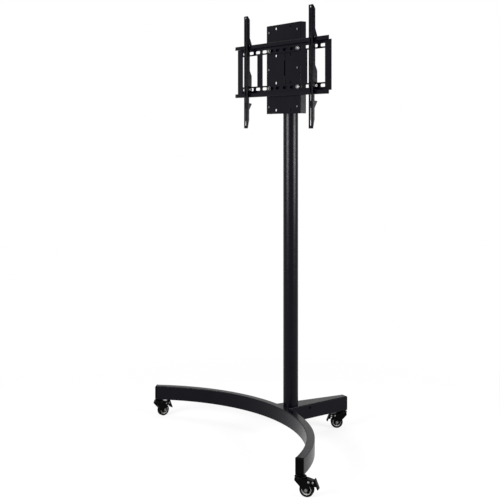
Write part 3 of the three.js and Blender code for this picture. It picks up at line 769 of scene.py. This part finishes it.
def rear_leg():
    """The leg's walls run from the arc's outer face to the cap's seat."""
    outer_radius = arc.radius + tube.width / 2 + gap
    rear = leg.end - cap.plate - gap
    # The section is drawn with a plain half width, and its sides then move in to the leg's own.
    drawn_half = 1
    # A wall's front end depends on how wide the leg is there, so its place is found in rounds.
    rounds = 3
    bm = bmesh.new()
    ends = []
    for wall, corner in ((0, leg.corner), (leg.wall, leg.inner_corner)):
        section = rounded_rectangle(2 * drawn_half, tube.height - 2 * wall, corner)
        front_ring = []
        rear_ring = []
        for point in section[::-1] if wall else section:
            side = math.copysign(1, point.x)
            moved_in = wall + drawn_half - abs(point.x)
            y = arc_centre + outer_radius
            for _ in range(rounds):
                half_front = side * (leg_half(y) - moved_in)
                y = arc_centre + math.sqrt(outer_radius**2 - half_front**2)
            half_rear = side * (leg_half(rear) - moved_in)
            front_ring.append(bm.verts.new((half_front, y, tube_middle + point.y)))
            rear_ring.append(bm.verts.new((half_rear, rear, tube_middle + point.y)))
        join_rings(bm, front_ring, rear_ring)
        ends.append((front_ring, rear_ring))
    join_rings(bm, ends[0][0], ends[1][0][::-1])
    join_rings(bm, ends[0][1], ends[1][1][::-1])
    piece("rear_leg_box", bm, "coated_steel", "base", stand, "rear_leg")


def rear_leg_cap():
    front = leg.end - cap.plate
    place = Matrix.Translation((0, front, tube_middle)) @ Matrix.Rotation(math.radians(90), 4, "Z")
    end_cap("rear_leg_end_cap", "rear_leg_cap", 2 * leg_half(front), place)


def column_pipe():
    low, high = node_box("column_tube")
    inner = column.radius - column.wall
    bm = turned_ring([
        (inner, low.z, 0),
        (column.radius, low.z, column.edge),
        (column.radius, high.z, column.edge),
        (inner, high.z, 0),
    ], edge_steps=2, steps=column.steps)
    piece("column_pipe", bm, "coated_steel", "base", stand, "column_tube")


def column_top_cap():
    low, high = node_box("column_cap")
    seat = high.z - column_cap.thickness
    plug = column.radius - column.wall - gap
    profile = rounded_profile([
        (0, low.z, 0),
        (plug, low.z, column_cap.edge),
        (plug, seat, 0),
        (column.radius, seat, 0),
        (column.radius, high.z, column_cap.edge),
        (0, high.z, 0),
    ])
    bm = turned(profile, steps=column_cap.steps)
    piece("column_top_cap", bm, "black_plastic", "base", stand, "column_cap")


# Head and bracket.
plate_low, plate_high = node_box("head_plate")
plate_front = plate_low.y


def head_plate():
    """A channel bent from one sheet: its flat pattern lies with X up the plate and Y across it."""
    flat_half = plate_high.x - head.bend
    half = before_bend(flat_half, head.bend, plate_high.y - plate_front)
    tall = plate_high.z - plate_low.z
    border = [Vector((0, -half)), Vector((tall, -half)), Vector((tall, half)), Vector((0, half))]
    holes = []
    for row in range(cable_hole.rows):
        up = tall / 2 + cable_hole.pitch * (row - (cable_hole.rows - 1) / 2)
        for side in (-1, 1):
            holes.append(round_hole(up, side * cable_hole.across / 2, cable_hole.radius))
    holes.append(slot_hole(tall / 2, head_slot.offset, head_slot.length, head_slot.width))
    bm = channel(border, holes, head.sheet, head.edge, flat_half, head.bend)
    place = stand @ up_the_front(0, plate_front, plate_low.z)
    piece("head_channel", bm, "coated_steel", "head", place, "head_plate")


def saddles():
    """Straps that lie on the plate's back and loop round the column."""
    inner = column.radius + gap
    outer = inner + saddle.strap
    for name in ("upper", "middle", "lower"):
        low, high = node_box(f"{name}_saddle")
        front = low.y
        back = front + saddle.strap
        line = filleted([
            (low.x, front, 0),
            (-inner, front, 0),
            *[(point.x, point.y, 0) for point in arc_points(0, 0, inner, 180, 0, saddle.steps)],
            (inner, front, 0),
            (high.x, front, 0),
            (high.x, back, 0),
            (outer, back, saddle.bend),
            *[(point.x, point.y, 0) for point in arc_points(0, 0, outer, 0, 180, saddle.steps)],
            (-outer, back, saddle.bend),
            (low.x, back, 0),
        ])
        bm = plate(line, [], low.z, high.z, saddle.edge)
        piece(f"{name}_saddle_strap", bm, "pressed_steel", "head", stand, f"{name}_saddle")


def clamp_screws():
    for i, x, z in numbered_places("clamp_screw", clamp_screw.count):
        place = stand @ Matrix.Translation((x, plate_front - gap, z)) @ upright
        piece(f"clamp_screw_head_{i}", socket_screw(clamp_screw), "zinc_plate", "head", place,
              f"clamp_screw_{i}")


def rail_sheet(name, up):
    """A rail bent from one sheet; its flat pattern has X along the rail and Y from its free edge."""
    low, high = node_box(name)
    half = (high.x - low.x) / 2
    short = half - rail.notch
    first = rail.height - rail.bend
    arc_length = rail.bend * math.pi / 2
    second = first + arc_length + rail.depth - 2 * rail.bend
    end = second + arc_length + rail.lip - rail.bend
    corners = [
        (-short, 0),
        (short, 0),
        (short, second),
        (half, second),
        (half, end),
        (-half, end),
        (-half, second),
        (-short, second),
    ]
    holes = []
    for i in range(rail_slot.count):
        across = rail_slot.pitch * (i - (rail_slot.count - 1) / 2)
        holes.append(slot_hole(across, rail_slot.from_inner_edge, rail_slot.length, rail_slot.width))
    bm = plate([Vector(corner) for corner in corners], holes, -rail.sheet, 0, head.edge)
    fold(bm, second, 1, rail.bend)
    fold(bm, first, 1, rail.bend)
    free_edge = high.z - rail.height if up > 0 else low.z + rail.height
    # Local Y to up or down, local Z to +Y.
    aim = Matrix(((1, 0, 0, 0), (0, 0, 1, high.y), (0, up, 0, free_edge), (0, 0, 0, 1)))
    piece(f"{name}_sheet", bm, "coated_steel", "head", stand @ aim, name)


def straps():
    for name in ("left_outer", "left_inner", "right_inner", "right_outer"):
        low, high = node_box(f"{name}_strap")
        line = rounded_rectangle(high.x - low.x, high.z - low.z, strap.corner, steps=2)
        bm = plate(line, [], 0, high.y - low.y, strap.edge)
        seat = Matrix.Translation(((low.x + high.x) / 2, high.y, (low.z + high.z) / 2))
        piece(f"{name}_flat_strap", bm, "coated_steel", "head", stand @ seat @ upright, f"{name}_strap")


def spacer_rings():
    for i, x, z in numbered_places("standoff", standoff.count):
        low, high = node_box(f"standoff_{i}")
        outer = (high.x - low.x) / 2
        deep = high.y - low.y
        inner = bolt.radius + gap
        bm = turned_ring([
            (inner, 0, 0),
            (outer, 0, standoff.edge),
            (outer, deep, standoff.edge),
            (inner, deep, 0),
        ], edge_steps=2)
        place = stand @ Matrix.Translation((x, high.y, z)) @ upright
        piece(f"spacer_ring_{i}", bm, "coated_steel", "head", place, f"standoff_{i}")


def hex_bolts():
    for i, x, z in numbered_places("bracket_bolt", bolt.count):
        low, _ = node_box(f"bracket_bolt_{i}")
        place = stand @ Matrix.Translation((x, low.y + bolt.head + bolt.washer, z)) @ upright
        piece(f"hex_bolt_{i}", hex_bolt(), "zinc_plate", "head", place, f"bracket_bolt_{i}")


# Arms.
def arm_web():
    """The free edge of an arm's web: how high it is, and how far behind the arm's front face."""
    low, high = node_box("left_arm")
    rail_low, _ = node_box("lower_rail")
    _, rail_high = node_box("upper_rail")
    shallow = arm_edge.shallow
    middle = arm_edge.middle
    deep = high.y - low.y
    ear_top = rail_low.z - arm_edge.ear_below_rail
    catch_foot = rail_low.z + rail.lip + arm_edge.catch_bottom
    catch_top = catch_foot + arm_edge.catch_top
    under_lip = rail_high.z - rail.lip - arm_edge.lip_gap
    seat = rail_high.z + gap
    hook_top = seat + arm_edge.hook_rise
    return [
        (low.z, arm_edge.land),
        (low.z + arm_edge.foot_chamfer, shallow),
        (ear_top - arm_edge.ear_depth, shallow),
        (ear_top - arm_edge.ear_land, deep),
        (ear_top, deep),
        (ear_top + arm_edge.ear_land, shallow),
        (catch_foot, shallow),
        (catch_foot + arm_edge.ear_land, deep),
        (catch_top - arm_edge.catch_slope, deep),
        (catch_top, middle),
        (under_lip - arm_edge.lip_gap, middle),
        (under_lip, shallow),
        (seat, shallow),
        (seat, deep),
        (hook_top, deep),
        (hook_top + arm_edge.hook_slope, middle),
        (high.z - arm_edge.top_chamfer, middle),
        (high.z, arm_edge.land),
    ]


def television_arm(side):
    """An arm bent from one sheet: a slotted face with a web along each edge."""
    low, high = node_box(f"{side}_arm")
    flat_half = arm.width / 2 - arm.bend
    right = [Vector((z - low.z, before_bend(flat_half, arm.bend, depth))) for z, depth in arm_web()]
    tall = high.z - low.z
    holes = []
    for start, end in arm_slot_shares:
        holes.append(slot_hole((start + end) / 2 * tall, 0, (end - start) * tall, arm.slot))
    for i in range(arm_hole.count):
        holes.append(round_hole(tall - arm_hole.below_top - i * arm_hole.pitch, 0, arm_hole.radius))
    bm = channel(mirrored_sheet(right), holes, arm.sheet, head.edge, flat_half, arm.bend)
    place = stand @ up_the_front((low.x + high.x) / 2, low.y, low.z)
    piece(f"{side}_arm_channel", bm, "coated_steel", f"{side}_arm", place, f"{side}_arm")


# Casters.
def joint_place(name):
    joint = next(item for item in frame["joints"] if item["name"] == name)
    return Vector(joint["pos_m"])


def caster_place(name):
    pivot = joint_place(f"{name}_swivel")
    trail = joint_place(f"{name}_roll") - pivot
    turn = Matrix.Rotation(math.atan2(trail.y, trail.x), 4, "Z")
    return Matrix.Translation((pivot.x, pivot.y, 0)) @ turn


def across_fork(out, height):
    """The place of something turned whose axis lies across the fork."""
    return Matrix.Translation((out, 0, height)) @ along_axle


def caster_stem(name, place):
    plate_bottom = race.top + gap
    plate_top = plate_bottom + gap + stem.plate
    nut_top = race.bottom - gap
    bm = turned(rounded_profile([
        (0, nut_top - stem.nut, 0),
        (stem.nut_radius, nut_top - stem.nut, stem.nut_edge),
        (stem.nut_radius, nut_top, 0),
        (stem.radius, nut_top, 0),
        (stem.radius, plate_bottom, 0),
        (stem.plate_radius, plate_bottom, stem.plate_lower_edge),
        (stem.plate_radius, plate_top, stem.plate_upper_edge),
        (stem.radius, plate_top, 0),
        (stem.radius, stem.top, 0),
        (0, stem.top, 0),
    ]))
    piece(f"{name}_swivel_stem", bm, "pressed_steel", "base", place, f"{name}_caster_stem")


def cheek_edge():
    """The side outline of the fork below its fold, as (x, depth under the race)."""
    boss = arc_points(axle.out, axle.height, fork.boss, boss_sweep.start, boss_sweep.end, boss_sweep.steps)
    lug = arc_points(brake.pin_out, brake.pin_height, brake.lug, lug_sweep.start, lug_sweep.end,
                     lug_sweep.steps)
    waist = Vector((axle.out + fork.boss, brake.pin_height - 2 * brake.lug))
    edge = [(point.x, race.bottom - point.y) for point in [*boss, waist, *lug]]
    return [(-fork.back, fork.skirt), *edge, (fork.front, 0)]


def swivel_race():
    """The raised ring on top of the fork, which turns on the stem."""
    bore = stem.radius + gap
    inside_sheet = race.bottom - fork.sheet / 2
    return turned_ring([
        (bore, inside_sheet, 0),
        (race.radius - race.rounding, inside_sheet, 0),
        (race.radius, race.bottom + race.rounding, race.rounding),
        (race.radius, race.top, race.rounding),
        (bore, race.top, 0),
    ], edge_steps=5)


def caster_fork(name, place):
    """A fork pressed from one sheet, with the raised swivel race on top."""
    flat_half = fork.inner + fork.sheet - fork.bend
    side = [Vector((x, before_bend(flat_half, fork.bend, depth))) for x, depth in cheek_edge()]
    sheet = channel(mirrored_sheet(side), [], fork.sheet, fork.edge, flat_half, fork.bend)
    bmesh.ops.translate(sheet, vec=(0, 0, race.bottom), verts=sheet.verts)
    bm = united([sheet, swivel_race()])
    piece(f"{name}_pressed_fork", bm, "pressed_steel", f"{name}_swivel", place, f"{name}_caster_fork")


def tread():
    """A tyre with rounded shoulders and two grooves."""
    side = -wheel.half_width
    inwards = wheel.shoulder * shoulder_shares.inwards
    across = wheel.shoulder * shoulder_shares.across
    return turned_ring(mirrored_profile([
        (rim.outer, side, 0),
        (wheel.radius - inwards, side, wheel.shoulder * shoulder_shares.side_rounding),
        (wheel.radius, side + across, wheel.shoulder * shoulder_shares.tread_rounding),
        (wheel.radius, -wheel.groove_at - wheel.groove, 0),
        (wheel.radius - wheel.groove, -wheel.groove_at, 0),
        (wheel.radius, -wheel.groove_at + wheel.groove, 0),
    ]), steps=wheel.steps)


def painted_shade_wheel_core():
    """The wheel's thin web and its boss round the axle, in black plastic as painted shade for the recess
    inside the grey ring.
    """
    return turned_ring(mirrored_profile([
        (axle.radius + gap, -core.boss_half, 0),
        (core.boss, -core.boss_half, core.rounding),
        (core.boss, -core.web, core.rounding),
        (rim.inner, -core.web, 0),
    ]), edge_steps=3)


def wheel_ring():
    """The light dished ring between the core and the tread."""
    return turned_ring(mirrored_profile([
        (rim.inner, -rim.inner_half, 0),
        (rim.outer - rim.lip, -rim.half_width, rim.edge),
        (rim.outer, -rim.half_width, 0),
    ]), steps=wheel.steps)


def caster_wheel(name, place):
    body = f"{name}_wheel"
    centre = place @ across_fork(axle.out, axle.height)
    piece(f"{name}_tread", tread(), "tyre_rubber", body, centre, f"{name}_caster_tyre")
    # Painted shade: the core is black plastic so that the hub's recess inside the grey nylon ring looks
    # shaded.
    piece(f"{name}_painted_shade_wheel_core", painted_shade_wheel_core(), "black_plastic", body, centre, f"{name}_caster_hub")
    piece(f"{name}_wheel_ring", wheel_ring(), "hub_nylon", body, centre)


def axle_end():
    """One half of the axle bolt, from under its head out: flange, hexagon and rounded end."""
    seat = fork.inner + fork.sheet + gap
    top = seat + axle.head
    shoulder = top - axle.end
    flat = axle.flats * chamfer_share
    return [
        circle(axle.radius, seat),
        circle(axle.head_radius, seat),
        circle(axle.head_radius, seat + axle.flange),
        hexagon(axle.flats, seat + axle.flange),
        hexagon(axle.flats, shoulder, flat),
        circle(flat, shoulder),
        circle(axle.end_radius, shoulder),
        circle(axle.end_radius, top - axle.end_edge),
        circle(axle.end_radius - axle.end_edge, top),
        [Vector((0, 0, top))],
    ]


def fork_pin():
    """A riveted pin across the fork, with a domed head at each end."""
    half = fork.inner + fork.sheet
    lower = [(0, -half - rivet.head)]
    for i in range(1, rivet.dome_steps + 1):
        turn = math.radians(90 * i / rivet.dome_steps)
        lower.append((rivet.radius * math.sin(turn), -half - rivet.head * math.cos(turn)))
    lower.append((brake.pin_radius, -half))
    upper = [(radius, -height) for radius, height in reversed(lower)]
    return turned(lower + upper, steps=rivet.steps)


def caster_axle(name, place):
    body = f"{name}_swivel"
    near = axle_end()
    far = [[Vector((point.x, point.y, -point.z)) for point in points] for points in reversed(near)]
    centre = place @ across_fork(axle.out, axle.height)
    piece(f"{name}_axle_bolt", shell(far + near), "zinc_plate", body, centre, f"{name}_caster_axle")
    piece(f"{name}_fork_rivet", fork_pin(), "zinc_plate", body, place @ across_fork(rivet.out, rivet.height))


def brake_pad():
    """A pad with a crowned outer face: local +Z runs up its slope and +Y is its outer side."""
    half = pad.half_width
    side = pad.thickness - pad.crown
    radius = (half**2 + pad.crown**2) / (2 * pad.crown)
    sweep = math.degrees(math.asin(half / radius))
    crown = arc_points(0, pad.thickness - radius, radius, 90 - sweep, 90 + sweep, pad.crown_steps)
    line = filleted([
        (-half, 0, pad.corner),
        (half, 0, pad.corner),
        (half, side, pad.corner),
        *[(point.x, point.y, 0) for point in crown[1:-1]],
        (-half, side, pad.corner),
    ])
    return plate(line, [], 0, pad.length, pad.edge, pad.edge_steps)


def caster_brake(name, place):
    """The lever, the riveted pin that it turns on, and the pad that a foot presses."""
    body = f"{name}_brake"
    lever = plate(filleted(lever_outline), [], -brake.half_width, brake.half_width, brake.edge)
    piece(f"{name}_brake_lever", lever, "pressed_steel", body, place @ upright, f"{name}_caster_brake")
    pin_place = place @ across_fork(brake.pin_out, brake.pin_height)
    piece(f"{name}_brake_pin", fork_pin(), "zinc_plate", body, pin_place)
    across = math.sin(math.radians(pad.slope))
    along = math.cos(math.radians(pad.slope))
    # Local X to -Y, local Y outwards and a little up, local Z up along the slope.
    aim = Matrix((
        (0, along, -across, pad.tip_out),
        (-1, 0, 0, 0),
        (0, across, along, pad.tip_height),
        (0, 0, 0, 1),
    ))
    piece(f"{name}_brake_pad", brake_pad(), "pressed_steel", body, place @ aim)


def casters():
    for name in ("front_left", "front_right", "rear"):
        place = caster_place(name)
        caster_stem(name, place)
        caster_fork(name, place)
        caster_wheel(name, place)
        caster_axle(name, place)
        caster_brake(name, place)


def plated_nodes():
    """The spigot and bolt that hold the column keep their CAD shape and get the zinc's material."""
    for name in ("foot_spigot", "column_bolt"):
        materials = frame["nodes"][name].data.materials
        materials.clear()
        materials.append(finish["zinc_plate"])


# Camera, floor and light.
def camera():
    data = bpy.data.cameras.new("camera")
    data.lens = lens
    data.sensor_width = sensor
    data.shift_y = frame_shift
    made = bpy.data.objects.new("camera", data)
    made.location = column_foot + Vector(camera_place)
    made.rotation_euler = (math.radians(90), 0, math.radians(camera_turn))
    bpy.context.scene.collection.objects.link(made)
    bpy.context.scene.camera = made


def seen_directly(tree):
    """One for rays from the camera and for rays that mirror or pass through, zero for light."""
    path = tree.nodes.new("ShaderNodeLightPath")
    total = path.outputs["Is Camera Ray"]
    for output in ("Is Glossy Ray", "Is Transmission Ray"):
        largest = tree.nodes.new("ShaderNodeMath")
        largest.operation = "MAXIMUM"
        tree.links.new(total, largest.inputs[0])
        tree.links.new(path.outputs[output], largest.inputs[1])
        total = largest.outputs["Value"]
    return total


def world():
    made = bpy.data.worlds.new("studio")
    made.use_nodes = True
    tree = made.node_tree
    background = tree.nodes["Background"]
    mix = tree.nodes.new("ShaderNodeMix")
    mix.data_type = "RGBA"
    mix.inputs["A"].default_value = (surround, surround, surround, 1)
    mix.inputs["B"].default_value = (1, 1, 1, 1)
    tree.links.new(seen_directly(tree), mix.inputs["Factor"])
    tree.links.new(mix.outputs["Result"], background.inputs["Color"])
    bpy.context.scene.world = made


def glow_share(tree):
    """How much of the floor shines white by itself: part of it near the stand, all of it far off."""
    place = tree.nodes.new("ShaderNodeTexCoord")
    distance = tree.nodes.new("ShaderNodeVectorMath")
    distance.operation = "LENGTH"
    tree.links.new(place.outputs["Object"], distance.inputs[0])
    share = tree.nodes.new("ShaderNodeMapRange")
    share.interpolation_type = "SMOOTHSTEP"
    share.inputs["From Min"].default_value = floor.shaded_to
    share.inputs["From Max"].default_value = floor.white_from
    share.inputs["To Min"].default_value = floor.near_share
    share.inputs["To Max"].default_value = 1
    tree.links.new(distance.outputs["Value"], share.inputs["Value"])
    return share.outputs["Result"]


def floor_paper():
    """Pale matt paper that takes the stand's shadow."""
    material = bpy.data.materials.new("floor_paper")
    material.use_nodes = True
    tree = material.node_tree
    tree.nodes.remove(tree.nodes["Principled BSDF"])
    paper = tree.nodes.new("ShaderNodeBsdfDiffuse")
    paper.inputs["Color"].default_value = (*floor.colour, 1)
    white = tree.nodes.new("ShaderNodeEmission")
    share = tree.nodes.new("ShaderNodeMath")
    share.operation = "MULTIPLY"
    mix = tree.nodes.new("ShaderNodeMixShader")
    tree.links.new(seen_directly(tree), share.inputs[0])
    tree.links.new(glow_share(tree), share.inputs[1])
    tree.links.new(share.outputs["Value"], mix.inputs["Fac"])
    tree.links.new(paper.outputs["BSDF"], mix.inputs[1])
    tree.links.new(white.outputs["Emission"], mix.inputs[2])
    tree.links.new(mix.outputs["Shader"], tree.nodes["Material Output"].inputs["Surface"])
    return material


def floor_disc():
    bm = bmesh.new()
    bmesh.ops.create_circle(bm, cap_ends=True, segments=floor.steps, radius=floor.radius)
    mesh = bpy.data.meshes.new("floor")
    bm.to_mesh(mesh)
    bm.free()
    made = bpy.data.objects.new("floor", mesh)
    bpy.context.scene.collection.objects.link(made)
    mesh.materials.append(floor_paper())


def softbox(name, light):
    data = bpy.data.lights.new(name, "AREA")
    data.shape = "RECTANGLE"
    data.size = light.width
    data.size_y = light.height
    data.energy = light.power
    turn = math.radians(light.turn)
    place = Vector((light.away * math.cos(turn), light.away * math.sin(turn), light.up))
    made = bpy.data.objects.new(name, data)
    made.location = column_foot + place
    aim = Vector((0, 0, light.aim))
    made.rotation_euler = (aim - place).to_track_quat("-Z", "Y").to_euler()
    bpy.context.scene.collection.objects.link(made)


base_arc()
arc_caps()
rear_leg()
rear_leg_cap()
screw_from_right("leg_side_screw_head", side_screw, "pressed_steel", "base", "leg_side_screw")
column_pipe()
column_top_cap()
head_plate()
saddles()
clamp_screws()
rail_sheet("upper_rail", 1)
rail_sheet("lower_rail", -1)
straps()
spacer_rings()
hex_bolts()
for side in ("left", "right"):
    television_arm(side)
    screw_from_right(f"{side}_lock_screw_head", lock_screw, "zinc_plate", f"{side}_arm",
                     f"{side}_arm_lock_screw")
casters()
plated_nodes()

camera()
world()
floor_disc()
for name, light in softboxes.items():
    softbox(name, light)
bpy.context.scene.view_settings.view_transform = "Standard"
